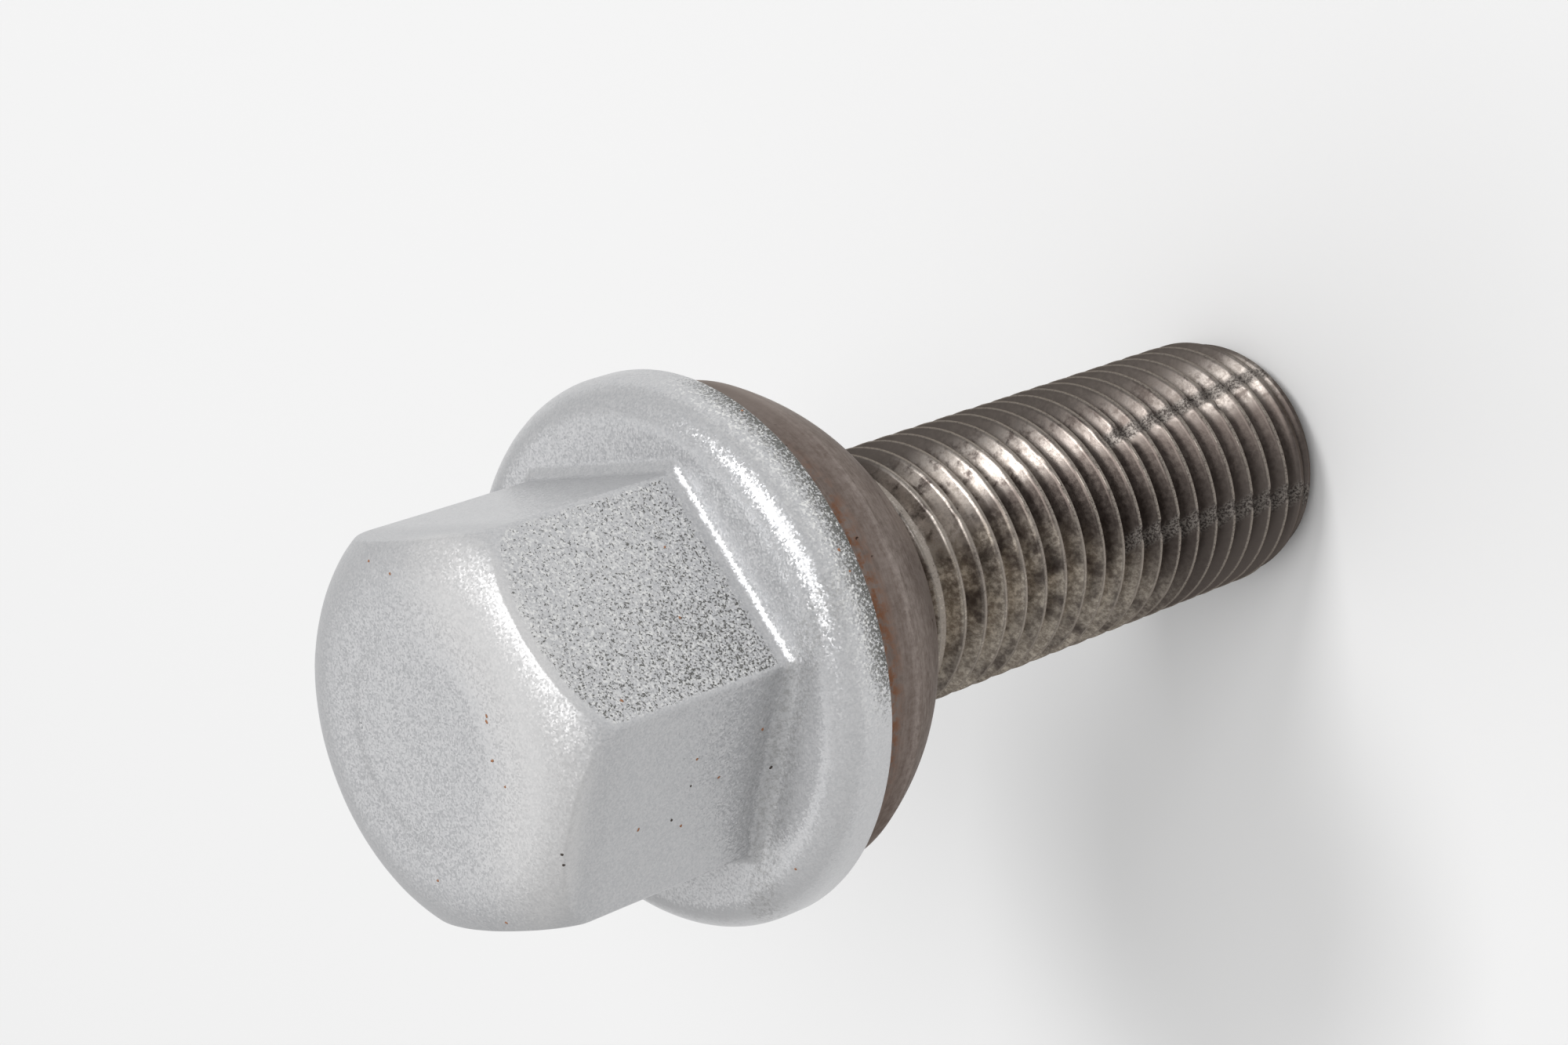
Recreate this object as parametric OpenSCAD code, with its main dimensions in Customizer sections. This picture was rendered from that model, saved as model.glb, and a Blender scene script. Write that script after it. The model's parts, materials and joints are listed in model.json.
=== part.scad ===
// Wheel bolt with a hexagon head, a round-edged flange and a loose ball seat ring.
// It stands on its threaded end with the head up, and Z runs along its axis.
// Z = 0 is the end face of the thread.

/* [Hexagon head] */
// Width of the hexagon across its flats
hex_af = 19; // [17:0.5:21]
// Height of the hexagon above the flange
hex_h = 13.75; // [9:0.25:18]
// Radius of the large round that takes the hexagon into the front face
crown_r = 4.3; // [1.5:0.1:5.5]
// How far the crown round runs past the corners of the hexagon
crown_over = 0.27; // [0.1:0.01:0.6]
// Radius of the fillet at the foot of the hexagon
foot_r = 0.7; // [0.3:0.1:1.2]
// Diameter of the low raised disc on the front face
disc_d = 10; // [6:0.5:10.5]
// Height of the raised disc
disc_h = 0.1; // [0.05:0.01:0.3]

/* [Flange] */
// Outer diameter of the flange
flange_d = 28.1; // [27:0.1:34]
// Thickness of the flange
flange_t = 3.15; // [2.2:0.05:5]
// Radius of the round on the flange edge
flange_edge_r = 2.05; // [1.2:0.05:2.1]

/* [Ball seat ring] */
// Radius of the ball seat
ball_r = 14; // [13:0.5:16]
// Outer diameter of the ring
ring_d = 25.5; // [23:0.1:25.8]
// Height of the ring
ring_h = 8.4; // [6.5:0.1:9]
// Diameter of the lower face of the ring, where the ball seat ends
seat_end_d = 17; // [15.4:0.1:19]
// Bevel on the outer top edge of the ring
ring_edge = 0.5; // [0.2:0.1:1]
// Bevel at the lower end of the bore
bore_bevel = 0.5; // [0.2:0.1:1]

/* [Shank] */
// Diameter of the plain neck under the head
neck_d = 13; // [12:0.1:13.2]
// Radius of the fillet between the neck and the flange
neck_fillet_r = 0.8; // [0.4:0.1:1.2]
// Diameter over the thread
thread_d = 13.85; // [13.7:0.05:14]
// Length of the thread, from its first turn to the end of the bolt
thread_l = 32.6; // [20:0.2:50]
// Angle of the long bevel at the end of the thread
lead_angle = 16; // [10:1:30]
// Radius of the round between the long bevel and the end face
tip_r = 2.2; // [1:0.1:2.4]
// Diameter of the flat end face
tip_flat_d = 8.8; // [6:0.1:9]

/* [Fits] */
// Radial clearance between the neck and the bore of the ring
bore_clear = 0.08; // [0.03:0.01:0.1]
// Gap between the flange and the top face of the ring
seat_gap = 0.15; // [0.05:0.05:0.3]
// Gap between the lower face of the ring and the first turn of thread
end_gap = 0.5; // [0.2:0.1:1.5]

/* [Hidden] */
$fn = 128;
HEX_SIDES = 6;
HALF_TURN_BARS = 3;
// Extra length that carries one solid into the next, so that their union is one body
sink = 0.5;

// Heights along the axis, from the end of the thread up
ring_bottom_z = thread_l + end_gap;
ring_top_z = ring_bottom_z + ring_h;
flange_bottom_z = ring_top_z + seat_gap;
flange_top_z = flange_bottom_z + flange_t;
head_top_z = flange_top_z + hex_h;
// The ball seat passes through the rim of the lower face
ball_centre_z = ring_bottom_z + sqrt(pow(ball_r, 2) - pow(seat_end_d / 2, 2));

hex_corner_r = hex_af / sqrt(3);
crown_out_r = hex_corner_r + crown_over;
crown_in_r = crown_out_r - crown_r;
// Heights above the flange of the front face round the disc and of the foot of the crown
hex_face_h = hex_h - disc_h;
crown_start_h = hex_face_h - crown_r;
flange_edge_c = flange_d / 2 - flange_edge_r;
neck_r = neck_d / 2;
thread_r = thread_d / 2;
bore_r = neck_r + bore_clear;
runout_h = thread_r - neck_r;
// Where the long bevel leaves the tip round, and where it reaches the thread
bevel_start_r = tip_flat_d / 2 + tip_r * cos(lead_angle);
bevel_start_z = tip_r * (1 - sin(lead_angle));
bevel_end_z = bevel_start_z + (thread_r - bevel_start_r) / tan(lead_angle);

// Side view of a bar across two flats, with a hollow fillet along each foot
module bar_section() {
    foot_w = hex_af + 2 * foot_r;
    difference() {
        union() {
            translate([-hex_af / 2, -sink]) square([hex_af, hex_h + sink]);
            translate([-foot_w / 2, -sink]) square([foot_w, foot_r + sink]);
        }
        for (side = [-1, 1]) {
            translate([side * foot_w / 2, foot_r]) circle(r = foot_r);
        }
    }
}

// Three bars crossed at 60 degrees leave the hexagon with its mitred foot
module hexagon() {
    bar_l = 2 * (hex_corner_r + 2 * foot_r);
    intersection_for (k = [0 : HALF_TURN_BARS - 1]) {
        rotate([0, 0, k * 360 / HEX_SIDES]) {
            rotate([90, 0, 0]) {
                linear_extrude(height = bar_l, center = true) bar_section();
            }
        }
    }
}

// Round body that cuts the crown on the hexagon
module crown() {
    rotate_extrude() {
        translate([0, -sink]) square([crown_in_r, hex_face_h + sink]);
        translate([0, -sink]) square([crown_out_r, crown_start_h + sink]);
        intersection() {
            translate([crown_in_r, crown_start_h]) circle(r = crown_r);
            translate([crown_in_r, 0]) square([crown_r, hex_h]);
        }
    }
    // The foot fillet stands outside the crown, so the lowest part is let through
    translate([0, 0, -sink]) cylinder(r = crown_out_r + 2 * foot_r, h = foot_r + sink);
}

module head() {
    translate([0, 0, flange_top_z]) {
        intersection() {
            hexagon();
            crown();
        }
        translate([0, 0, hex_face_h - sink]) {
            cylinder(d = disc_d, h = disc_h + sink);
        }
    }
}

// Flange with its rim rounded over from the front and cut square behind
module flange() {
    translate([0, 0, flange_bottom_z]) {
        rotate_extrude() {
            square([flange_edge_c, flange_t]);
            intersection() {
                translate([flange_edge_c, flange_t - flange_edge_r]) circle(r = flange_edge_r);
                translate([flange_edge_c, 0]) square([flange_edge_r, flange_t]);
            }
        }
    }
}

// Neck that the ring turns on, filleted into the flange
module neck() {
    translate([0, 0, thread_l - sink]) {
        cylinder(r = neck_r, h = flange_bottom_z - thread_l + 2 * sink);
    }
    translate([0, 0, flange_bottom_z - neck_fillet_r]) {
        rotate_extrude() {
            difference() {
                square([neck_r + neck_fillet_r, neck_fillet_r + sink]);
                translate([neck_r + neck_fillet_r, 0]) circle(r = neck_fillet_r);
            }
        }
    }
}

// Thread drawn at its outer diameter, bevelled at both ends
module thread_body() {
    rotate_extrude() {
        polygon([
            [0, 0],
            [tip_flat_d / 2, 0],
            [bevel_start_r, bevel_start_z],
            [thread_r, bevel_end_z],
            [thread_r, thread_l - runout_h],
            [neck_r, thread_l],
            [0, thread_l]
        ]);
        intersection() {
            translate([tip_flat_d / 2, tip_r]) circle(r = tip_r);
            translate([tip_flat_d / 2, 0]) square([tip_r, tip_r]);
        }
    }
}

module bolt() {
    color("silver") {
        union() {
            head();
            flange();
            neck();
            thread_body();
        }
    }
}

// Loose ring with a ball seat below, held on the neck by the flange and the thread
module ball_seat_ring() {
    color("dimgray") {
        difference() {
            intersection() {
                translate([0, 0, ball_centre_z]) sphere(r = ball_r);
                union() {
                    translate([0, 0, ring_bottom_z]) {
                        cylinder(d = ring_d, h = ring_h - ring_edge);
                    }
                    translate([0, 0, ring_top_z - ring_edge]) {
                        cylinder(d1 = ring_d, d2 = ring_d - 2 * ring_edge, h = ring_edge);
                    }
                }
            }
            translate([0, 0, ring_bottom_z - sink]) {
                cylinder(r = bore_r, h = ring_h + 2 * sink);
            }
            // This bevel makes room for the fillet of the neck
            translate([0, 0, ring_top_z - neck_fillet_r]) {
                cylinder(r1 = bore_r, r2 = bore_r + neck_fillet_r, h = neck_fillet_r);
            }
            translate([0, 0, ring_bottom_z]) {
                cylinder(r1 = bore_r + bore_bevel, r2 = bore_r, h = bore_bevel);
            }
        }
    }
}

bolt();
ball_seat_ring();
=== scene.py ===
import json
import math
import random

import bmesh
import bpy
import numpy as np
from mathutils import Matrix, Quaternion, Vector, noise
from mathutils.bvhtree import BVHTree


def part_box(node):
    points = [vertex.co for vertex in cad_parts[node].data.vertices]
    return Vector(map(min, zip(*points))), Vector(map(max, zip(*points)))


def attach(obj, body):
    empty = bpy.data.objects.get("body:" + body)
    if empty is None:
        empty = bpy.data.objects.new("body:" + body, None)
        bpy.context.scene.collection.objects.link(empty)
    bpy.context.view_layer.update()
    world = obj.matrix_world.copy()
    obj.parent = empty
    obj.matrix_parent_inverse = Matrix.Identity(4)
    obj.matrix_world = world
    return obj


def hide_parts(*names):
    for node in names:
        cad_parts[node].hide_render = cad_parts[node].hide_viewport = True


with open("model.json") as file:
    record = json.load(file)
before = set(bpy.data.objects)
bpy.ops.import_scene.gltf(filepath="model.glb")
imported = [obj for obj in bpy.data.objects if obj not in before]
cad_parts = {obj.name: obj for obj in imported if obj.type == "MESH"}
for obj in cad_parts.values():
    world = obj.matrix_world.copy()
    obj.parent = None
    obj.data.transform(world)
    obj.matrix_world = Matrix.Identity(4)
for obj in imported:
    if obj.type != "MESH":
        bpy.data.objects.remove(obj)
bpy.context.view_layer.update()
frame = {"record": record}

# Lengths are in millimetres until a mesh, a shader, a lamp or the camera is made
MM = 0.001
# Points of a mesh that are closer than this are merged
MERGE = 0.0005


def node_box(node):
    """Lowest and highest corner of a solid, in millimetres."""
    low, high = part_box(node)
    return [value / MM for value in low], [value / MM for value in high]


def mount_radius(name):
    """Radius that the record gives for a mount, in millimetres."""
    for mount in frame["record"]["mounts"]:
        if mount["name"] == name:
            return mount["dims"]["r_mm"]
    raise ValueError("the record has no mount " + name)


# Sizes that the frame gives
BOLT_HIGH = node_box("bolt")[1]
RING_LOW, RING_HIGH = node_box("ball_seat_ring")
HEAD_TOP = BOLT_HIGH[2]
FLANGE_R = BOLT_HIGH[0]
RING_R = RING_HIGH[0]
RING_BOTTOM = RING_LOW[2]
RING_TOP = RING_HIGH[2]
THREAD_R = mount_radius("thread")

# Hexagon head: half its width across the flats, its height and the round of its six edges
HEX_SIDES = 6
HEX_HALF = 9.5
HEX_H = 13.75
HEX_EDGE_R = 0.4
# Crown round, how far it runs past the corners, and how far its edge to the flats is softened
CROWN_R = 4.3
CROWN_OVER = 0.27
CROWN_BLEND = 0.22
# Fillet at the foot of the flats, and the wider one of the flat that faces TROUGH_SIDE
FOOT_R = 0.7
TROUGH_R = 0.95
TROUGH_SIDE = math.radians(-60)
# Raised disc: DISC_STEP of its height is the step at its edge, the rest a slope to the crown
DISC_R = 5.0
DISC_H = 0.1
DISC_EDGE = 0.9
DISC_STEP = 0.055
# Points down each flat
FLAT_STEPS = 46

# Flange
FLANGE_T = 3.15
FLANGE_EDGE_R = 2.05
REAR_EDGE_R = 0.12

# Ball seat ring
BALL_R = 14.0
SEAT_END_R = 8.5
RING_EDGE = 0.5
BORE_BEVEL = 0.5
BORE_CLEAR = 0.08
# Small bevel where the ball seat meets the lower face: its width and height
SEAT_BEVEL_W = 0.08
SEAT_BEVEL_H = 0.06
RING_COLS = 360

# Soft bumps of the forged skins: depth, wavelength and seed
HEAD_BUMPS = [(0.03, 3.5, 1), (0.012, 1.1, 2)]
RING_BUMPS = [(0.02, 2.5, 3)]

# Shank and thread
NECK_R = 6.5
NECK_FILLET_R = 0.8
PITCH = 1.5
CREST_W = 0.13
ROOT_R = 0.2165
ROOT_DEPTH = 0.97
FLANK_ANGLE = math.radians(30)
# Height of a crest at the angle 0
CREST_PHASE_Z = 0.93
# The thread starts this far below the ring, and its uppermost crest is wider
END_GAP = 0.5
LAST_CREST_W = 0.3
LAST_CREST_LOW = 30.2
LAST_CREST_HIGH = 30.8
TIP_R = 2.2
TIP_FLAT_R = 4.4
LEAD_ANGLE = math.radians(16)
# Half of the thread profile: distances from the middle of a crest
HALF_PROFILE = [0.0, 0.05, 0.085, 0.19, 0.31, 0.43, 0.5625, 0.63, 0.69]
THREAD_COLS = 192
# Wear all round the crests, in fine and in coarse bumps: depth and wavelength
FINE_WEAR = 0.035
FINE_WAVE = 0.45
COARSE_WEAR = 0.015
COARSE_WAVE = 1.1

# Rubbed lines across the crests: angle and height at both ends, half width in degrees, depth
RUBS = [(-38, 16.5, -45, 2.0, 3.5, 0.17), (7, 15.5, 14, 4.0, 5.0, 0.15)]
# Dents in the crests: angle, height, half width in degrees, half height, depth
DENTS = [(12.0, 6.75, 4.0, 0.6, 0.45), (9.0, 14.3, 3.0, 0.55, 0.35), (4.0, 6.7, 2.5, 0.4, 0.3)]
# Marks on the head, each given by a point near it
RUST_MARKS = [(4.1, 7.0, 58.5), (2.8, 8.6, 58.5), (5.3, -1.5, 58.5), (3.8, -4.5, 58.5),
              (4.0, -3.2, 58.5), (5.1, -1.7, 58.5), (-4.6, -5.2, 58.5),
              (-2.4, -9.0, 58.0), (9.6, 2.0, 47.8), (9.6, -1.5, 49.2),
              (9.6, -4.3, 54.6), (6.6, -7.1, 46.0), (13.9, -2.4, 42.5), (13.7, -3.5, 42.4),
              (12.7, 6.2, 42.0), (3.9, -8.7, 53.2), (6.4, -7.3, 50.1), (5.0, -8.1, 48.4),
              (1.7, -12.9, 44.8), (3.2, -9.1, 50.4)]
DARK_MARKS = [(4.6, -8.3, 45.0), (3.7, -8.8, 51.1), (5.1, -8.0, 50.2), (4.0, -8.6, 57.9),
              (3.6, -9.1, 57.8)]
BRIGHT_MARKS = [(-3.7, 3.0, 58.5), (-3.5, 3.2, 58.5)]
GRAIN_SIZE = 0.07
NICK_SIZE = 0.14
# How far a grain is stretched, from the least to the most, and how flat it is
GRAIN_STRETCH = (0.8, 1.6)
GRAIN_HEIGHT = 0.35
# How far below the raised disc the highest grain ends
GRAIN_SINK = 0.01

# Sizes that follow from those above
SECTOR = math.tau / HEX_SIDES
HEX_EDGE_Y = HEX_HALF * math.tan(SECTOR / 2)
FLANGE_TOP = HEAD_TOP - HEX_H
FLANGE_BOTTOM = FLANGE_TOP - FLANGE_T
FACE_Z = HEAD_TOP - DISC_H
CROWN_START_Z = FACE_Z - CROWN_R
CROWN_IN_R = HEX_HALF / math.cos(SECTOR / 2) + CROWN_OVER - CROWN_R
FLANGE_EDGE_C = FLANGE_R - FLANGE_EDGE_R
BALL_Z = RING_BOTTOM + math.sqrt(BALL_R ** 2 - SEAT_END_R ** 2)
THREAD_TOP = RING_BOTTOM - END_GAP
# The helix grid ends a little above the run-out of the thread
GRID_TOP = THREAD_TOP + 0.4


def smoothstep(low, high, value):
    """0 below low, 1 above high and a smooth rise between them; low may be the larger."""
    t = np.clip((value - low) / (high - low), 0.0, 1.0)
    return t * t * (3 - 2 * t)


def smooth_min(a, b, blend):
    """The smaller of two values, rounded over where they are closer than blend."""
    h = np.maximum(blend - np.abs(a - b), 0.0) / blend
    return np.minimum(a, b) - h * h * blend / 4


def make_object(name, points, faces):
    """Mesh object from points in millimetres and faces, with doubled points merged."""
    mesh = bpy.data.meshes.new(name)
    mesh.from_pydata((np.asarray(points) * MM).tolist(), [], faces)
    work = bmesh.new()
    work.from_mesh(mesh)
    bmesh.ops.remove_doubles(work, verts=work.verts, dist=MERGE * MM)
    bmesh.ops.recalc_face_normals(work, faces=work.faces)
    work.to_mesh(mesh)
    work.free()
    mesh.polygons.foreach_set("use_smooth", [True] * len(mesh.polygons))
    mesh.update()
    piece = bpy.data.objects.new(name, mesh)
    bpy.context.scene.collection.objects.link(piece)
    return piece


def revolve_grid(name, angles, rows):
    """Closed body from rows of (radius, height), each a number or one value per angle."""
    count = len(angles)
    radius = np.array([np.broadcast_to(r, count) for r, z in rows])
    height = np.array([np.broadcast_to(z, count) for r, z in rows])
    points = np.stack([radius * np.cos(angles), radius * np.sin(angles), height], axis=-1)
    faces = []
    for row in range(len(rows) - 1):
        for col in range(count):
            after = (col + 1) % count
            here = row * count
            below = here + count
            faces.append((here + col, here + after, below + after, below + col))
    return make_object(name, points.reshape(-1, 3), faces)


def cloud(places, wavelength, seed):
    """Soft noise from -1 to 1 at points in millimetres."""
    shifted = places / wavelength + np.array([7.3, 3.1, 5.7]) * seed
    return np.array([noise.noise(point) for point in shifted.tolist()])


def roughen(piece, depth, wavelength, seed):
    """Press the surface in by up to depth, along its normals, in soft bumps of that wavelength."""
    mesh = piece.data
    count = len(mesh.vertices)
    places = np.zeros(count * 3)
    normals = np.zeros(count * 3)
    mesh.vertices.foreach_get("co", places)
    mesh.vertices.foreach_get("normal", normals)
    places = places.reshape(-1, 3)
    values = cloud(places / MM, wavelength, seed)
    places -= normals.reshape(-1, 3) * (depth * MM * (0.5 + 0.5 * values))[:, None]
    mesh.vertices.foreach_set("co", places.ravel())
    mesh.update()


def hexagon_r(angles, half_width, edge_r):
    """Distance from the axis to a hexagon with rounded edges, at each angle."""
    off_flat = (angles + SECTOR / 2) % SECTOR - SECTOR / 2
    off_edge = SECTOR / 2 - np.abs(off_flat)
    flat = half_width / np.cos(off_flat)
    centre = (half_width - edge_r) / math.cos(SECTOR / 2)
    reach = centre * np.sin(off_edge)
    rounded = centre * np.cos(off_edge) + np.sqrt(np.maximum(edge_r ** 2 - reach ** 2, 0))
    return np.where(reach < edge_r * math.sin(SECTOR / 2), rounded, flat)


def head_angles(per_side=88, gather=0.8):
    """Angles round the head, closer together near the six edges."""
    t = np.linspace(-1, 1, per_side, endpoint=False)
    one_side = SECTOR / 2 * (gather * np.sin(t * math.pi / 2) + (1 - gather) * t)
    return np.concatenate([one_side + side * SECTOR for side in range(HEX_SIDES)])


def face_rows():
    """Front face with its low raised disc, from the centre out."""
    rows = []
    for r in np.concatenate([np.linspace(0, DISC_R - DISC_EDGE, 15),
                             np.linspace(DISC_R - DISC_EDGE, DISC_R + DISC_EDGE, 12)[1:],
                             np.linspace(DISC_R + DISC_EDGE, CROWN_IN_R, 9)[1:]]):
        rise = DISC_STEP * smoothstep(DISC_R + DISC_EDGE / 2, DISC_R - DISC_EDGE / 2, r)
        slope = (DISC_H - DISC_STEP) * smoothstep(CROWN_IN_R + 0.5, DISC_R - 0.5, r)
        rows.append((r, FACE_Z + rise + slope))
    return rows


def crown_rows(flat_r, before=26, across=10, after=8, half_band=math.radians(4)):
    """Large round of the crown down to where it meets each flat."""
    reach = flat_r - CROWN_IN_R
    meet = np.arcsin(reach / CROWN_R)
    past = meet + half_band
    steps = [(meet - half_band) * t for t in np.linspace(0, 1, before)[1:]]
    steps += [meet + half_band * t for t in np.linspace(-1, 1, across)[1:]]
    steps += [past + (math.pi / 2 - past) * t for t in np.linspace(0, 1, after)[1:]]
    rows = []
    for angle in steps:
        out = smooth_min(np.full_like(reach, CROWN_R), reach / np.sin(angle), CROWN_BLEND)
        rows.append((CROWN_IN_R + out * np.sin(angle), CROWN_START_Z + out * np.cos(angle)))
    return rows


def foot_radius(angles):
    """Radius of the fillet at the foot of the flats; one flat runs out in a wider trough."""
    off = np.abs((angles - TROUGH_SIDE + math.pi) % math.tau - math.pi)
    return FOOT_R + (TROUGH_R - FOOT_R) * smoothstep(SECTOR / 2, SECTOR / 6, off)


def foot_rows(angles, steps=12):
    """Hollow fillet between the flats and the flange, mitred at the edges."""
    rows = []
    foot = foot_radius(angles)
    for turn in np.linspace(0, math.pi / 2, steps)[1:]:
        out = foot * (1 - math.cos(turn))
        radius = hexagon_r(angles, HEX_HALF + out, HEX_EDGE_R + out)
        rows.append((radius, FLANGE_TOP + foot * (1 - math.sin(turn))))
    return rows


def flange_rows(inner_r):
    """Flange from the foot of the hexagon round its edge to the neck."""
    rows = []
    for t in np.linspace(0, 1, 10)[1:]:
        rows.append((inner_r + (FLANGE_EDGE_C - inner_r) * t, FLANGE_TOP))
    for turn in np.linspace(0, math.pi / 2, 26)[1:]:
        drop = FLANGE_EDGE_R * (1 - math.cos(turn))
        rows.append((FLANGE_EDGE_C + FLANGE_EDGE_R * math.sin(turn), FLANGE_TOP - drop))
    for z in np.linspace(FLANGE_TOP - FLANGE_EDGE_R, FLANGE_BOTTOM + REAR_EDGE_R, 7)[1:]:
        rows.append((FLANGE_R, z))
    for turn in np.linspace(0, math.pi / 2, 5)[1:]:
        rows.append((FLANGE_R - REAR_EDGE_R * (1 - math.cos(turn)),
                     FLANGE_BOTTOM + REAR_EDGE_R * (1 - math.sin(turn))))
    rows.append((RING_R, FLANGE_BOTTOM))
    for turn in np.linspace(0, math.pi / 2, 4):
        rows.append((NECK_R + NECK_FILLET_R * (1 - math.sin(turn)),
                     FLANGE_BOTTOM - NECK_FILLET_R * (1 - math.cos(turn))))
    rows.append((0.0, FLANGE_BOTTOM - NECK_FILLET_R))
    return rows


def build_head():
    """Hexagon head and flange in one skin."""
    angles = head_angles()
    flat_r = hexagon_r(angles, HEX_HALF, HEX_EDGE_R)
    rows = face_rows() + crown_rows(flat_r)
    foot_top = FLANGE_TOP + foot_radius(angles)
    for t in np.linspace(0, 1, FLAT_STEPS)[1:]:
        rows.append((flat_r, CROWN_START_Z + (foot_top - CROWN_START_Z) * t))
    feet = foot_rows(angles)
    rows += feet
    rows += flange_rows(feet[-1][0])
    piece = revolve_grid("head_and_flange", angles, rows)
    for depth, wavelength, seed in HEAD_BUMPS:
        roughen(piece, depth, wavelength, seed)
    return piece


def profile_depth(across):
    """Depth of the thread below its crest at a distance from the middle of the crest."""
    flank = (across - CREST_W / 2) / math.tan(FLANK_ANGLE)
    root_centre = ROOT_DEPTH - ROOT_R
    from_root = PITCH / 2 - across
    root = root_centre + np.sqrt(np.maximum(ROOT_R ** 2 - from_root ** 2, 0))
    in_root = from_root < ROOT_R * math.cos(FLANK_ANGLE)
    return np.where(in_root, root, np.maximum(flank, 0.0))


def tip_envelope(z):
    """Largest radius that the bevel and the round at the end of the thread leave."""
    bevel_start_r = TIP_FLAT_R + TIP_R * math.cos(LEAD_ANGLE)
    bevel_start_z = TIP_R * (1 - math.sin(LEAD_ANGLE))
    inside = np.clip(TIP_R - z, 0, TIP_R)
    rounded = TIP_FLAT_R + np.sqrt(TIP_R ** 2 - inside ** 2)
    bevel = bevel_start_r + (z - bevel_start_z) * math.tan(LEAD_ANGLE)
    return np.minimum(np.where(z < bevel_start_z, rounded, bevel), THREAD_R)


def rub_depth(degrees, z, rub):
    """Depth of a rubbed line at each point; it fades out at its sides and at both ends."""
    turn0, z0, turn1, z1, half_width, depth = rub
    t = (z - z0) / (z1 - z0)
    off = np.abs(degrees - turn0 - (turn1 - turn0) * np.clip(t, 0, 1))
    ends = smoothstep(-0.06, 0.04, t) * smoothstep(1.06, 0.96, t)
    return depth * smoothstep(half_width, half_width / 4, off) * ends


def worn_radius(points):
    """Radius of the shank at each point once its crests are nicked, rubbed and dented."""
    radius = np.hypot(points[:, 0], points[:, 1])
    degrees = np.degrees(np.arctan2(points[:, 1], points[:, 0]))
    z = points[:, 2]
    fine = 0.5 + 0.5 * cloud(points, FINE_WAVE, 4)
    coarse = 0.5 + 0.5 * cloud(points, COARSE_WAVE, 5)
    top = THREAD_R - FINE_WEAR * fine - COARSE_WEAR * coarse
    for rub in RUBS:
        top -= rub_depth(degrees, z, rub) * (0.2 + 1.1 * fine)
    for turn, dent_z, half_width, half_height, depth in DENTS:
        reach = np.hypot((degrees - turn) / half_width, (z - dent_z) / half_height)
        top -= depth * smoothstep(1.0, 0.3, reach) * (0.6 + 0.4 * fine)
    return np.minimum(radius, top)


def thread_radius(helix_z, across, z):
    """Radius of the unworn shank on the helix grid."""
    near = np.minimum(across, PITCH - across)
    above = across < PITCH / 2
    late = smoothstep(LAST_CREST_LOW, LAST_CREST_HIGH, helix_z)
    widen = LAST_CREST_W * late[:, None] * above[None, :]
    radius = THREAD_R - profile_depth(np.maximum(near[None, :] - widen, 0))
    radius = NECK_R + (radius - NECK_R) * smoothstep(THREAD_TOP - 0.2, THREAD_TOP - 1.0, z)
    radius = np.minimum(radius, tip_envelope(z))
    radius = np.where(z > GRID_TOP, NECK_R, radius)
    return np.where(z < 0, TIP_FLAT_R, radius)


def thread_grid():
    """Points of the shank in strips, each one pitch high; the strips follow the helix."""
    half = np.array(HALF_PROFILE)
    across = np.concatenate([half, [PITCH / 2], PITCH - half[:0:-1]])
    strips = (int(GRID_TOP / PITCH) + 4) * THREAD_COLS
    index = np.arange(strips + 1 + THREAD_COLS)
    angle = index * math.tau / THREAD_COLS
    helix_z = CREST_PHASE_Z - 2 * PITCH + index * PITCH / THREAD_COLS
    z = helix_z[:, None] + across[None, :]
    radius = thread_radius(helix_z, across, z)
    z = np.clip(z, 0, GRID_TOP)
    points = np.stack([radius * np.cos(angle)[:, None], radius * np.sin(angle)[:, None], z], axis=-1)
    return points, strips


def strip_faces(strips, per_strip):
    """Faces from each strip to the next one, and to the strip one turn above."""
    faces = []
    for strip in range(strips):
        here = strip * per_strip
        beside = here + per_strip
        for step in range(per_strip - 1):
            faces.append((here + step, beside + step, beside + step + 1, here + step + 1))
        over = here + THREAD_COLS * per_strip
        faces.append((here + per_strip - 1, beside + per_strip - 1, over + per_strip, over))
    return faces


def add_band(points, faces, first, second):
    """Add a band between two circles round the axis, each given as (radius, height)."""
    base = len(points)
    for col in range(THREAD_COLS):
        turn = col * math.tau / THREAD_COLS
        for radius, z in (first, second):
            points.append((radius * math.cos(turn), radius * math.sin(turn), z))
    for col in range(THREAD_COLS):
        here = base + 2 * col
        beside = base + 2 * ((col + 1) % THREAD_COLS)
        faces.append((here, beside, beside + 1, here + 1))


def build_shank():
    """Neck and threaded shank; its points run along the helix, so the crests stay crisp."""
    grid, strips = thread_grid()
    points = grid.reshape(-1, 3)
    worn = worn_radius(points) / np.maximum(np.hypot(points[:, 0], points[:, 1]), 0.001)
    points[:, :2] *= worn[:, None]
    points = points.tolist()
    faces = strip_faces(strips, grid.shape[1])
    neck_top = FLANGE_BOTTOM - NECK_FILLET_R / 2
    add_band(points, faces, (0.0, 0.0), (TIP_FLAT_R, 0.0))
    add_band(points, faces, (NECK_R, GRID_TOP), (NECK_R, neck_top))
    add_band(points, faces, (NECK_R, neck_top), (0.0, neck_top))
    return make_object("threaded_shank", points, faces)


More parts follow.
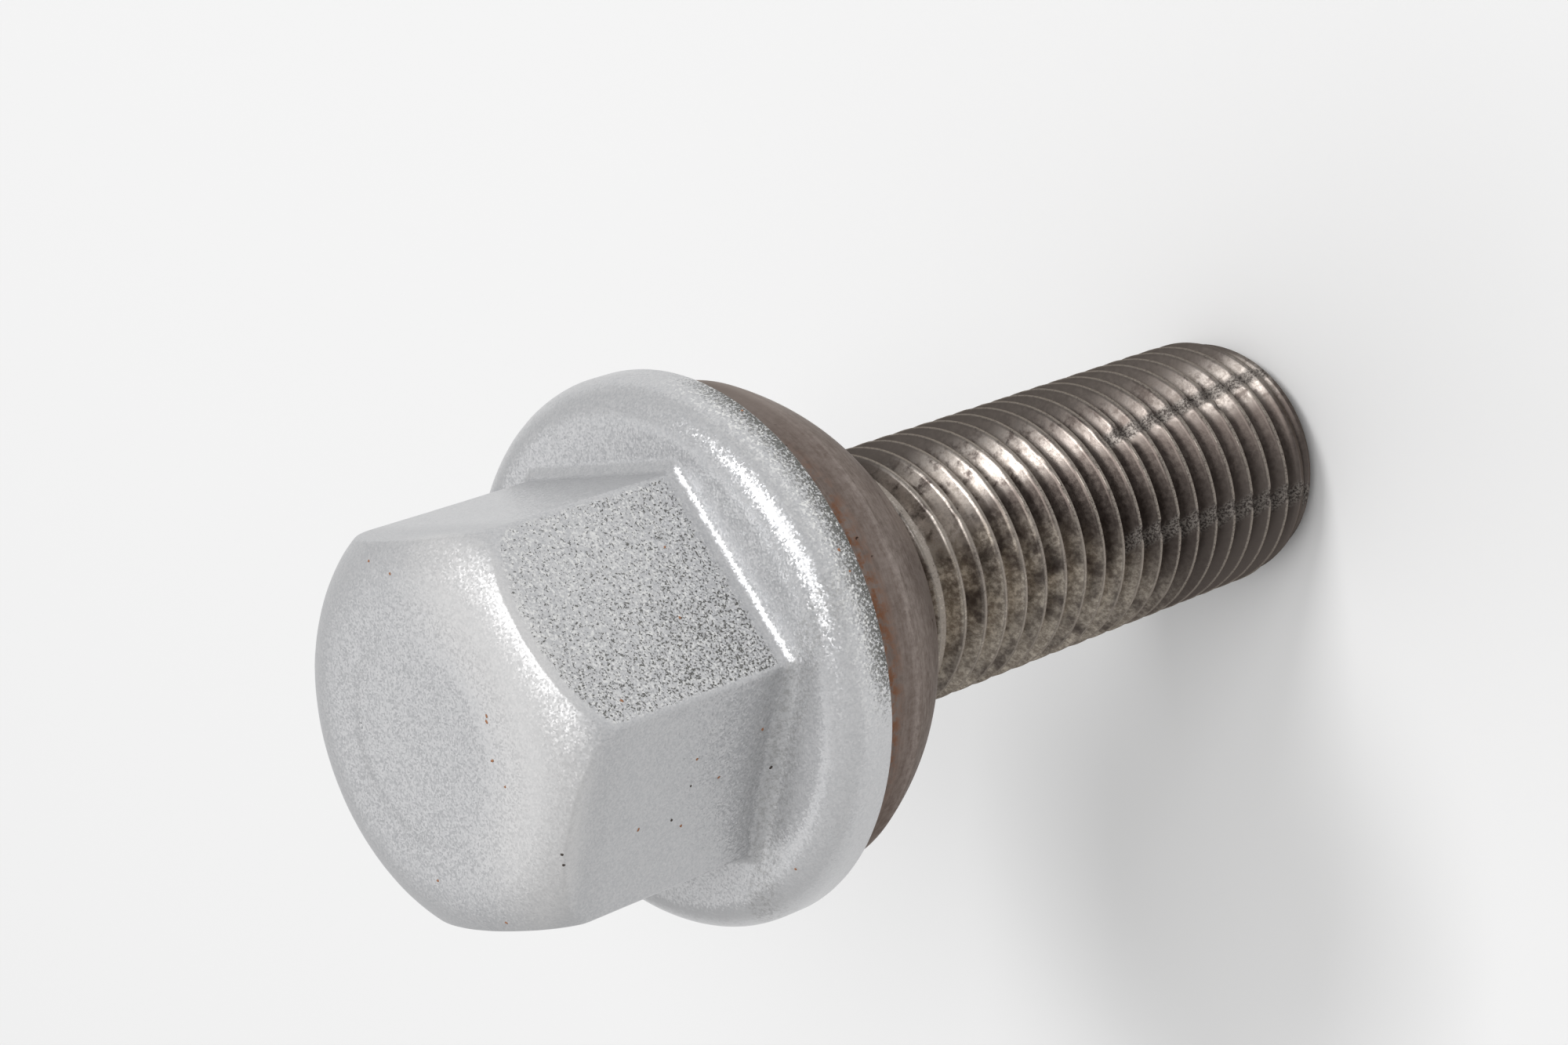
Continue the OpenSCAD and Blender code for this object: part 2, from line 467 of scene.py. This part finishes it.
def build_ring():
    """Ball seat ring with softened edges."""
    bore_r = NECK_R + BORE_CLEAR
    rows = [(bore_r, RING_BOTTOM + BORE_BEVEL), (bore_r + BORE_BEVEL, RING_BOTTOM)]
    rows.append((SEAT_END_R - SEAT_BEVEL_W, RING_BOTTOM))
    low = math.asin((BALL_Z - RING_BOTTOM - SEAT_BEVEL_H) / BALL_R)
    high = math.acos(RING_R / BALL_R)
    for turn in np.linspace(low, high, 44):
        rows.append((BALL_R * math.cos(turn), BALL_Z - BALL_R * math.sin(turn)))
    land_start = rows[-1][1]
    for z in np.linspace(land_start, RING_TOP - RING_EDGE, 14)[1:]:
        rows.append((RING_R, z))
    for t in np.linspace(0, 1, 6)[1:]:
        rows.append((RING_R - RING_EDGE * t, RING_TOP - RING_EDGE * (1 - t)))
    rows.append((bore_r + NECK_FILLET_R, RING_TOP))
    rows.append((bore_r, RING_TOP - NECK_FILLET_R))
    rows.append(rows[0])
    angles = np.arange(RING_COLS) * math.tau / RING_COLS
    piece = revolve_grid("seat_ring", angles, rows)
    for depth, wavelength, seed in RING_BUMPS:
        roughen(piece, depth, wavelength, seed)
    return piece


def build_grains(name, marks, size, surface, seed):
    """Small grains sunk halfway into a surface, one near each mark, none above the raised disc."""
    tree = BVHTree.FromObject(surface, bpy.context.evaluated_depsgraph_get())
    draw = random.Random(seed)
    points = []
    faces = []
    for mark in marks:
        spot, normal = tree.find_nearest(Vector(mark) * MM)[:2]
        turn = normal.to_track_quat("Z", "Y")
        blob = bmesh.new()
        bmesh.ops.create_icosphere(blob, subdivisions=2, radius=1.0)
        base = len(points)
        long_side = draw.uniform(*GRAIN_STRETCH)
        spin = Quaternion((0, 0, 1), draw.uniform(0, math.pi))
        for vert in blob.verts:
            swell = size * (1 + 0.5 * noise.noise(vert.co * 1.4 + spot * 900))
            local = Vector((vert.co.x * long_side, vert.co.y, vert.co.z * GRAIN_HEIGHT)) * swell
            local.rotate(spin)
            local.rotate(turn)
            point = spot / MM + local
            points.append((point.x, point.y, min(point.z, HEAD_TOP - GRAIN_SINK)))
        faces += [tuple(base + vert.index for vert in part.verts) for part in blob.faces]
        blob.free()
    return make_object(name, points, faces)


def srgb(r, g, b):
    """Linear colour from the usual 0 to 255 values."""
    shares = (r / 255, g / 255, b / 255)
    return tuple(c / 12.92 if c < 0.04045 else ((c + 0.055) / 1.055) ** 2.4 for c in shares)


# Colours of the coat
COAT_DARK = srgb(179, 180, 182)
COAT_LIGHT = srgb(194, 194, 195)
# Painted highlight: the lighter side of the face and crown
COAT_LIT_FACE = srgb(226, 224, 222)
# Painted light on the flange's side towards -Y
COAT_LIT_FLANGE = srgb(222, 222, 223)
# Painted glints on the crumbly coat
COAT_GLINT = srgb(228, 228, 226)
# Darker speckled band at the foot of one flat
COAT_FOOT_DARK = srgb(128, 127, 124)
PIT_STEEL = srgb(92, 92, 88)

# Colours of the thread; lit upper is painted light on the side towards +Y, lit lower painted light on
# the side towards -Y near the end
THREAD_DARK = srgb(81, 73, 69)
THREAD_GREY = srgb(97, 89, 84)
THREAD_LIT_UPPER = srgb(122, 114, 108)
THREAD_LIT_LOWER = srgb(112, 104, 99)
# Brown gold grime, lightened as a painted sheen
GRIME_SHEEN_DARK = srgb(146, 136, 125)
GRIME_SHEEN_LIGHT = srgb(208, 198, 184)
# Painted highlight on partly bare steel
HIGHLIGHT_LIGHT = srgb(188, 180, 173)
HIGHLIGHT_DARK = srgb(146, 138, 131)
CREST_STEEL = srgb(146, 138, 130)
RUB_DARK = srgb(62, 57, 55)
RUB_LIGHT = srgb(150, 144, 138)

# Colours of the ring, with lit top for painted light on the side towards +Y, and of the grains
RING_DARK = srgb(114, 103, 97)
RING_LIGHT = srgb(158, 148, 142)
RING_LIT_TOP = srgb(180, 171, 165)
# Painted shade under the flange, partly the land's duller tone
RING_LAND_SHADE = srgb(92, 79, 72)
RING_RUST = srgb(126, 84, 58)
RING_SPOT = srgb(58, 46, 40)
RUST_GRAIN = srgb(150, 104, 74)
DARK_GRAIN = srgb(60, 52, 46)

# Width of the metal flakes in the coat and of the cells of its painted glints
FLAKE = 0.09
CRUMB = 0.11


class Shader:
    """One material's node tree, with short calls for the nodes used here."""

    def __init__(self, name):
        self.material = bpy.data.materials.new(name)
        self.material.use_nodes = True
        self.nodes = self.material.node_tree.nodes
        self.links = self.material.node_tree.links
        self.surface = self.nodes["Principled BSDF"]

    def locate(self):
        """Make the place of the shaded point, its coordinates and its distance from the axis."""
        self.place = self.nodes.new("ShaderNodeTexCoord").outputs["Object"]
        self.x, self.y, self.z = self.split(self.place)
        self.radius = self.vector("LENGTH", self.vector("MULTIPLY", self.place, (1.0, 1.0, 0.0)))

    def link(self, value, socket):
        """Join an output to a socket, or write a plain value on it."""
        if isinstance(value, bpy.types.NodeSocket):
            self.links.new(value, socket)
        elif isinstance(value, tuple) and len(value) == 3 and socket.type == "RGBA":
            socket.default_value = (*value, 1.0)
        else:
            socket.default_value = value

    def noise(self, size, detail=3.0, rough=0.55, place=None):
        """Cloudy pattern whose blobs are about size millimetres wide."""
        node = self.nodes.new("ShaderNodeTexNoise")
        self.link(place or self.place, node.inputs["Vector"])
        node.inputs["Scale"].default_value = 1 / (size * MM)
        node.inputs["Detail"].default_value = detail
        node.inputs["Roughness"].default_value = rough
        return node.outputs["Fac"]

    def cells(self, size):
        """Random colour for each small cell, size millimetres wide."""
        node = self.nodes.new("ShaderNodeTexVoronoi")
        self.link(self.place, node.inputs["Vector"])
        node.inputs["Scale"].default_value = 1 / (size * MM)
        return node.outputs["Color"]

    def math(self, operation, a, b=0.0, c=0.0):
        """One sum on numbers."""
        node = self.nodes.new("ShaderNodeMath")
        node.operation = operation
        for value, socket in zip((a, b, c), node.inputs):
            self.link(value, socket)
        return node.outputs[0]

    def product(self, *values):
        """Product of numbers, such as masks that run from 0 to 1."""
        result = values[0]
        for value in values[1:]:
            result = self.math("MULTIPLY", result, value)
        return result

    def vector(self, operation, a, b=(0.0, 0.0, 0.0)):
        """One sum on vectors."""
        node = self.nodes.new("ShaderNodeVectorMath")
        node.operation = operation
        self.link(a, node.inputs[0])
        if operation == "SCALE":
            self.link(b, node.inputs["Scale"])
        else:
            self.link(b, node.inputs[1])
        return node.outputs["Value"] if operation in ("LENGTH", "DOT_PRODUCT") else node.outputs[0]

    def ramp(self, value, low, high):
        """0 where value is below low and 1 where it is above high; low may be the larger."""
        node = self.nodes.new("ShaderNodeMapRange")
        node.interpolation_type = "SMOOTHSTEP"
        self.link(value, node.inputs["Value"])
        flip = low > high
        node.inputs["From Min"].default_value = min(low, high)
        node.inputs["From Max"].default_value = max(low, high)
        node.inputs["To Min"].default_value = 1.0 if flip else 0.0
        node.inputs["To Max"].default_value = 0.0 if flip else 1.0
        return node.outputs["Result"]

    def ramp_mm(self, value, low, high):
        """The same ramp with its ends in millimetres."""
        return self.ramp(value, low * MM, high * MM)

    def towards(self, angle):
        """How far the point lies from the axis in the direction of an angle."""
        return self.vector("DOT_PRODUCT", self.place, (math.cos(angle), math.sin(angle), 0.0))

    def mix(self, factor, a, b):
        """Colour a where factor is 0 and colour b where it is 1."""
        node = self.nodes.new("ShaderNodeMix")
        node.data_type = "RGBA"
        self.link(factor, node.inputs["Factor"])
        self.link(a, node.inputs[6])
        self.link(b, node.inputs[7])
        return node.outputs[2]

    def bump(self, height, depth, normal=None):
        """Normal bent by a height pattern that is depth millimetres deep."""
        node = self.nodes.new("ShaderNodeBump")
        node.inputs["Distance"].default_value = depth * MM
        self.link(height, node.inputs["Height"])
        if normal is not None:
            self.link(normal, node.inputs["Normal"])
        return node.outputs["Normal"]

    def split(self, vector):
        """The three numbers of a vector."""
        node = self.nodes.new("ShaderNodeSeparateXYZ")
        self.link(vector, node.inputs[0])
        return node.outputs

    def flakes(self, size, tilt, normal):
        """Normal tilted a little at random in each small cell, as metal flakes in a coat."""
        random_way = self.vector("SUBTRACT", self.cells(size), (0.5, 0.5, 0.5))
        tilted = self.vector("ADD", normal, self.vector("SCALE", random_way, tilt))
        return self.vector("NORMALIZE", tilted)

    def finish(self, **sockets):
        """Set the sockets of the surface shader."""
        for name, value in sockets.items():
            self.link(value, self.surface.inputs[name.replace("_", " ")])
        return self.material


def sheared_flat(s):
    """Mask of the speckled flat towards +X, a little inside its edges."""
    # Height at which the crown round meets a flat, at this distance from the axis
    reach = s.math("SUBTRACT", s.radius, CROWN_IN_R * MM)
    rise = s.math("SQRT", s.math("SUBTRACT", (CROWN_R * MM) ** 2, s.product(reach, reach)))
    under_crown = s.math("SUBTRACT", s.math("ADD", rise, CROWN_START_Z * MM), s.z)
    return s.product(s.ramp_mm(s.x, HEX_HALF - 0.25, HEX_HALF - 0.1),
                     s.ramp_mm(s.math("ABSOLUTE", s.y), HEX_EDGE_Y - 0.085, HEX_EDGE_Y - 0.285),
                     s.ramp_mm(under_crown, 0.25, 0.6),
                     s.ramp_mm(s.z, FLANGE_TOP + 0.4, FLANGE_TOP + 1.0))


def pits(s, sheared):
    """Pits of the sheared flat, more of them towards its lower corner."""
    spread = s.math("ADD", s.product(s.ramp_mm(s.y, 4, -5), 0.05),
                    s.product(s.ramp_mm(s.z, FLANGE_TOP + 11.2, FLANGE_TOP + 1.2), 0.04))
    spread = s.math("MULTIPLY_ADD", sheared, 0.18, spread)
    return s.product(sheared, s.ramp(s.math("ADD", s.noise(0.115, 2.0, 0.6), spread), 0.76, 0.9))


def worn_rim(s):
    """Steel that shows along the lower rim of the flange, on the side towards +X."""
    thin = s.product(s.ramp_mm(s.z, FLANGE_BOTTOM + 2.2, FLANGE_BOTTOM + 0.1),
                     s.ramp_mm(s.radius, FLANGE_R - 1.05, FLANGE_R - 0.25),
                     s.ramp_mm(s.x, 9, 12))
    worn = s.ramp(s.math("MULTIPLY_ADD", thin, 0.2, s.noise(0.13, 3.0, 0.7)), 0.6, 0.72)
    return s.product(thin, worn)


def darker_foot_band(s):
    """Rough darker speckled band along the foot of the flat with the trough."""
    off_axis = s.towards(TROUGH_SIDE)
    return s.product(s.ramp_mm(off_axis, HEX_HALF - 0.2, HEX_HALF + 0.1),
                     s.ramp_mm(off_axis, HEX_HALF + 2.1, HEX_HALF + 0.9),
                     s.ramp_mm(s.z, FLANGE_TOP + 2.6, FLANGE_TOP + 1.0),
                     s.ramp(s.noise(0.25, 4.0, 0.8), 0.45, 0.62))


def lit_face_side(s):
    """Face and crown round the disc, with a painted highlight that makes one side lighter."""
    return s.product(s.ramp_mm(s.radius, DISC_R - 1.4, DISC_R + 2),
                     s.ramp_mm(s.z, FACE_Z - 2.45, FACE_Z - 0.85),
                     s.ramp_mm(s.towards(math.radians(-24)), 0, 5.08))


def silver_coat():
    """Silver flake coat; dark steel shows in pits on the sheared flat and along the flange rim."""
    s = Shader("silver_coat")
    s.locate()
    sheared = sheared_flat(s)
    dark = s.math("MAXIMUM", pits(s, sheared), worn_rim(s))
    colour = s.mix(s.split(s.cells(FLAKE))[0], COAT_DARK, COAT_LIGHT)
    # Painted highlight: the face and crown lighter on one side
    colour = s.mix(s.product(lit_face_side(s), 0.35), colour, COAT_LIT_FACE)
    # Painted glints: lighter cells on the sheared flat and the thin rim, where the coat is crumbly
    rim = s.product(s.ramp_mm(s.x, 9, 12), s.ramp_mm(s.z, FLANGE_TOP - 0.6, FLANGE_TOP - 2))
    crumbly = s.math("MAXIMUM", s.product(sheared, 0.7), rim)
    glint = s.ramp(s.split(s.cells(CRUMB))[1], 0.5, 1.0)
    colour = s.mix(s.product(crumbly, glint), colour, COAT_GLINT)
    # Painted light: the flange is a little lighter on the side towards -Y
    lit_flange_side = s.product(s.ramp_mm(s.z, FLANGE_TOP + 0.6, FLANGE_TOP), s.ramp_mm(s.y, -3, -10))
    colour = s.mix(s.product(lit_flange_side, 0.3), colour, COAT_LIT_FLANGE)
    colour = s.mix(s.product(darker_foot_band(s), 0.4), colour, COAT_FOOT_DARK)
    colour = s.mix(dark, colour, PIT_STEEL)
    normal = s.bump(s.noise(0.22, 2.0), 0.004)
    normal = s.bump(s.product(dark, -1.0), 0.03, normal)
    normal = s.flakes(FLAKE, 0.23, normal)
    # The coat lies drier on the crown than on the flange
    crown = s.product(s.ramp_mm(s.z, CROWN_START_Z - 0.15, CROWN_START_Z + 1.85),
                      s.ramp_mm(s.radius, CROWN_IN_R - 0.64, CROWN_IN_R + 0.36))
    rough = s.math("MULTIPLY_ADD", crown, 0.13, 0.3)
    return s.finish(Base_Color=colour, Metallic=0.45, Roughness=rough, Normal=normal)


def grime_and_sheen_side(s):
    """Side towards -Y near the head: mottled brown gold grime, lightened by a painted sheen."""
    slanted = s.math("MULTIPLY_ADD", s.y, -2.4, s.z)
    return s.product(s.ramp_mm(s.y, 0.5, -3), s.ramp_mm(slanted, 25, 32),
                     s.ramp(s.noise(1.6, 3.0), 0.25, 0.6))


def bare_and_highlight_band(s):
    """Lighter steel towards +X, partly bare and partly a painted highlight, strongest near the head
    and again near the end.
    """
    share = s.math("MULTIPLY_ADD", s.ramp_mm(s.z, 17, 24), 0.75, 0.25)
    share = s.math("MULTIPLY_ADD", s.ramp_mm(s.z, 9, 6), 0.35, share)
    lower_edge = s.math("MULTIPLY_ADD", s.ramp_mm(s.z, 24, 29), 2.0 * MM, s.y)
    return s.product(s.ramp_mm(lower_edge, -0.5, 1.2), s.ramp_mm(s.y, 4.6, 2.6),
                     s.ramp_mm(s.x, 3, 4.5), s.ramp(s.noise(1.1, 4.0, 0.7), 0.34, 0.52), share)


def rubbed_lines(s):
    """Mask of the rubbed lines across the crests, for shaded points on the side towards +X."""
    mask = 0.0
    for rub in RUBS:
        turn0, z0, turn1, z1 = rub[:4]
        first_y = THREAD_R * math.sin(math.radians(turn0))
        tilt = (THREAD_R * math.sin(math.radians(turn1)) - first_y) / (z1 - z0)
        line_y = s.math("MULTIPLY_ADD", s.z, tilt, (first_y - tilt * z0) * MM)
        off = s.math("ABSOLUTE", s.math("SUBTRACT", s.y, line_y))
        band = s.product(s.ramp_mm(off, 0.55, 0.2), s.ramp_mm(s.x, 2, 3),
                         s.ramp_mm(s.z, z0 + 0.6, z0))
        mask = s.math("MAXIMUM", mask, band)
    return mask


def thread_steel():
    """Dark oiled steel with worn crests, brighter towards the head from painted highlight and sheen,
    and mottled in brown there.
    """
    s = Shader("thread_steel")
    s.locate()
    mottle = s.ramp(s.noise(0.3, 4.0, 0.75), 0.38, 0.66)
    fine = s.noise(0.12, 3.0, 0.7)
    grime_sheen = grime_and_sheen_side(s)
    rubbed = rubbed_lines(s)
    colour = s.mix(mottle, THREAD_DARK, THREAD_GREY)
    # Painted light: the thread lighter on the side towards +Y, and on the side towards -Y near its
    # end
    colour = s.mix(s.product(s.ramp_mm(s.y, 2.5, 5), 0.7), colour, THREAD_LIT_UPPER)
    lit_low_side = s.product(s.ramp_mm(s.y, -1.5, -5), s.ramp_mm(s.z, 14, 6))
    colour = s.mix(s.product(lit_low_side, 0.7), colour, THREAD_LIT_LOWER)
    # Brown gold grime, lightened as a painted sheen
    colour = s.mix(grime_sheen, colour, s.mix(mottle, GRIME_SHEEN_DARK, GRIME_SHEEN_LIGHT))
    # Painted highlight on partly bare steel towards +X
    colour = s.mix(bare_and_highlight_band(s), colour, s.mix(mottle, HIGHLIGHT_LIGHT, HIGHLIGHT_DARK))
    crest = s.product(s.ramp_mm(s.radius, THREAD_R - 0.09, THREAD_R - 0.045), s.ramp(fine, 0.3, 0.55))
    colour = s.mix(crest, colour, CREST_STEEL)
    flecks = s.mix(s.ramp(fine, 0.42, 0.58), RUB_DARK, RUB_LIGHT)
    colour = s.mix(s.product(rubbed, 0.75), colour, flecks)
    rough = s.math("MULTIPLY_ADD", grime_sheen, 0.12, 0.28)
    rough = s.math("MULTIPLY_ADD", rubbed, 0.2, rough)
    rough = s.math("MULTIPLY_ADD", mottle, 0.08, rough)
    rough = s.math("MULTIPLY_ADD", s.ramp_mm(s.z, 17, 6), 0.1, rough)
    return s.finish(Base_Color=colour, Metallic=1.0, Roughness=rough, Normal=s.bump(fine, 0.003),
                    Specular_Tint=(0.5, 0.47, 0.44))


def ring_steel():
    """Brown grey satin steel with a little rust beside the flange."""
    s = Shader("ring_steel")
    s.locate()
    front = s.towards(math.radians(-28.65))
    mottle = s.ramp(s.noise(0.35, 5.0, 0.75), 0.35, 0.65)
    streaks = s.noise(1.2, 5.0, 0.75, s.vector("MULTIPLY", s.place, (0.5, 0.5, 4.0)))
    mottle = s.math("MULTIPLY_ADD", mottle, 0.5, s.product(s.ramp(streaks, 0.35, 0.65), 0.5))
    colour = s.mix(mottle, RING_DARK, RING_LIGHT)
    # Painted light: the ring lighter on the side towards +Y
    colour = s.mix(s.product(s.ramp_mm(s.y, 3, 9), 0.8), colour, RING_LIT_TOP)
    # Painted shade under the flange, on a land that is also duller
    land_shade = s.ramp_mm(s.z, RING_TOP - 3.3, RING_TOP - 2.3)
    colour = s.mix(s.product(land_shade, 0.5), colour, RING_LAND_SHADE)
    rust = s.product(s.ramp_mm(s.z, RING_TOP - 2.2, RING_TOP - 1.1), s.ramp_mm(front, 7.5, 12),
                     s.ramp(s.noise(0.7, 5.0, 0.7), 0.42, 0.62))
    colour = s.mix(s.product(rust, 0.85), colour, RING_RUST)
    spots = s.product(s.ramp(s.noise(0.5, 2.0), 0.7, 0.76), s.ramp_mm(front, 6, 10))
    colour = s.mix(spots, colour, RING_SPOT)
    normal = s.bump(s.noise(0.16, 3.0, 0.6), 0.01)
    rough = s.math("MULTIPLY_ADD", rust, 0.2, 0.42)
    return s.finish(Base_Color=colour, Metallic=0.85, Roughness=rough, Normal=normal,
                    Specular_Tint=(0.4, 0.37, 0.35))


def grain_crust(name, colour):
    """Dull crust of a grain."""
    return Shader(name).finish(Base_Color=colour, Metallic=0.0, Roughness=0.8)


def pale_floor():
    """Plain pale floor."""
    return Shader("pale_floor").finish(Base_Color=FLOOR_COLOUR, Roughness=0.9, Specular_IOR_Level=0.1)


def dress(piece, body, node, material):
    """Give a piece its body and its material, and hide the solid it stands for."""
    piece.data.materials.append(material)
    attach(piece, body)
    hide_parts(node)


# The camera: where it stands, where it looks and how far it is rolled
CAMERA_AT = Vector((136.93, -43.15, 155.03))
CAMERA_FORWARD = Vector((-0.72034, 0.25101, -0.6466))
CAMERA_ROLL = math.radians(108.7)
LENS = 85.0
SENSOR_W = 36.0
CLIP_NEAR = 5
CLIP_FAR = 20000


def camera_turn():
    """Rotation of the camera."""
    forward = CAMERA_FORWARD.normalized()
    side = forward.cross(Vector((0, 0, 1))).normalized()
    up = side.cross(forward)
    roll = Quaternion(forward, CAMERA_ROLL)
    side.rotate(roll)
    up.rotate(roll)
    return Matrix((side, up, -forward)).transposed()


def place_camera():
    """Camera at the photograph's viewing angle."""
    data = bpy.data.cameras.new("camera")
    data.lens = LENS
    data.sensor_width = SENSOR_W
    data.clip_start = CLIP_NEAR * MM
    data.clip_end = CLIP_FAR * MM
    camera = bpy.data.objects.new("camera", data)
    camera.matrix_world = Matrix.Translation(CAMERA_AT * MM) @ camera_turn().to_4x4()
    bpy.context.scene.collection.objects.link(camera)
    bpy.context.scene.camera = camera


# Soft square lamps: direction from the bolt, the point they shine on, distance, width and watts
KEY_WAY = Vector((0.4, 0.38, 0.83)).normalized()
KEY_SIZE = 360
KEY_POWER = 8.9
FILL_WAY = Vector((0.6, 0.03, 0.8)).normalized()
FILL_SIZE = 680
FILL_POWER = 7.0
LAMP_DISTANCE = 1500
LAMP_AIM = Vector((0, 0, 40))
CARD_WAY = Vector((-0.56, 0.14, 0.81)).normalized()
CARD_SIZE = 1240
CARD_POWER = 2.9
CARD_DISTANCE = 1400
CARD_AIM = Vector((0, 0, 50))
WORLD_STRENGTH = 0.51
FLOOR_COLOUR = (0.8, 0.8, 0.8)
FLOOR_SIZE = 3000


def place_lamp(name, way, aim, distance, size, power):
    """Soft square lamp, unseen by the camera."""
    data = bpy.data.lights.new(name, "AREA")
    data.shape = "SQUARE"
    data.size = size * MM
    data.energy = power
    lamp = bpy.data.objects.new(name, data)
    lamp.location = (way * distance + aim) * MM
    lamp.rotation_euler = way.to_track_quat("Z", "Y").to_euler()
    lamp.visible_camera = False
    bpy.context.scene.collection.objects.link(lamp)


def light_scene():
    """Plain studio light: a pale world, a soft lamp, a wide one and a card for the front face."""
    world = bpy.data.worlds.new("studio")
    world.use_nodes = True
    back = world.node_tree.nodes["Background"]
    back.inputs["Color"].default_value = (1.0, 1.0, 1.0, 1.0)
    back.inputs["Strength"].default_value = WORLD_STRENGTH
    bpy.context.scene.world = world
    place_lamp("soft_key", KEY_WAY, LAMP_AIM, LAMP_DISTANCE, KEY_SIZE, KEY_POWER)
    place_lamp("wide_fill", FILL_WAY, LAMP_AIM, LAMP_DISTANCE, FILL_SIZE, FILL_POWER)
    place_lamp("face_card", CARD_WAY, CARD_AIM, CARD_DISTANCE, CARD_SIZE, CARD_POWER)


def place_floor():
    """Plain floor that the bolt stands on."""
    bpy.ops.mesh.primitive_plane_add(size=FLOOR_SIZE * MM, location=(0, 0, 0))
    floor = bpy.context.active_object
    floor.name = "floor"
    floor.data.materials.append(pale_floor())


place_camera()
light_scene()
place_floor()
silver = silver_coat()
head = build_head()
dress(head, "bolt_body", "bolt", silver)
dress(build_shank(), "bolt_body", "bolt", thread_steel())
rust_grains = build_grains("rust_grains", RUST_MARKS, GRAIN_SIZE, head, seed=5)
bright_nicks = build_grains("bright_nicks", BRIGHT_MARKS, NICK_SIZE, head, seed=7)
dark_grains = build_grains("dark_grains", DARK_MARKS, GRAIN_SIZE, head, seed=6)
dress(rust_grains, "bolt_body", "bolt", grain_crust("rust_crust", RUST_GRAIN))
dress(bright_nicks, "bolt_body", "bolt", silver)
dress(dark_grains, "bolt_body", "bolt", grain_crust("dark_crust", DARK_GRAIN))
dress(build_ring(), "ring_body", "ball_seat_ring", ring_steel())

bpy.context.scene.view_settings.view_transform = "Standard"
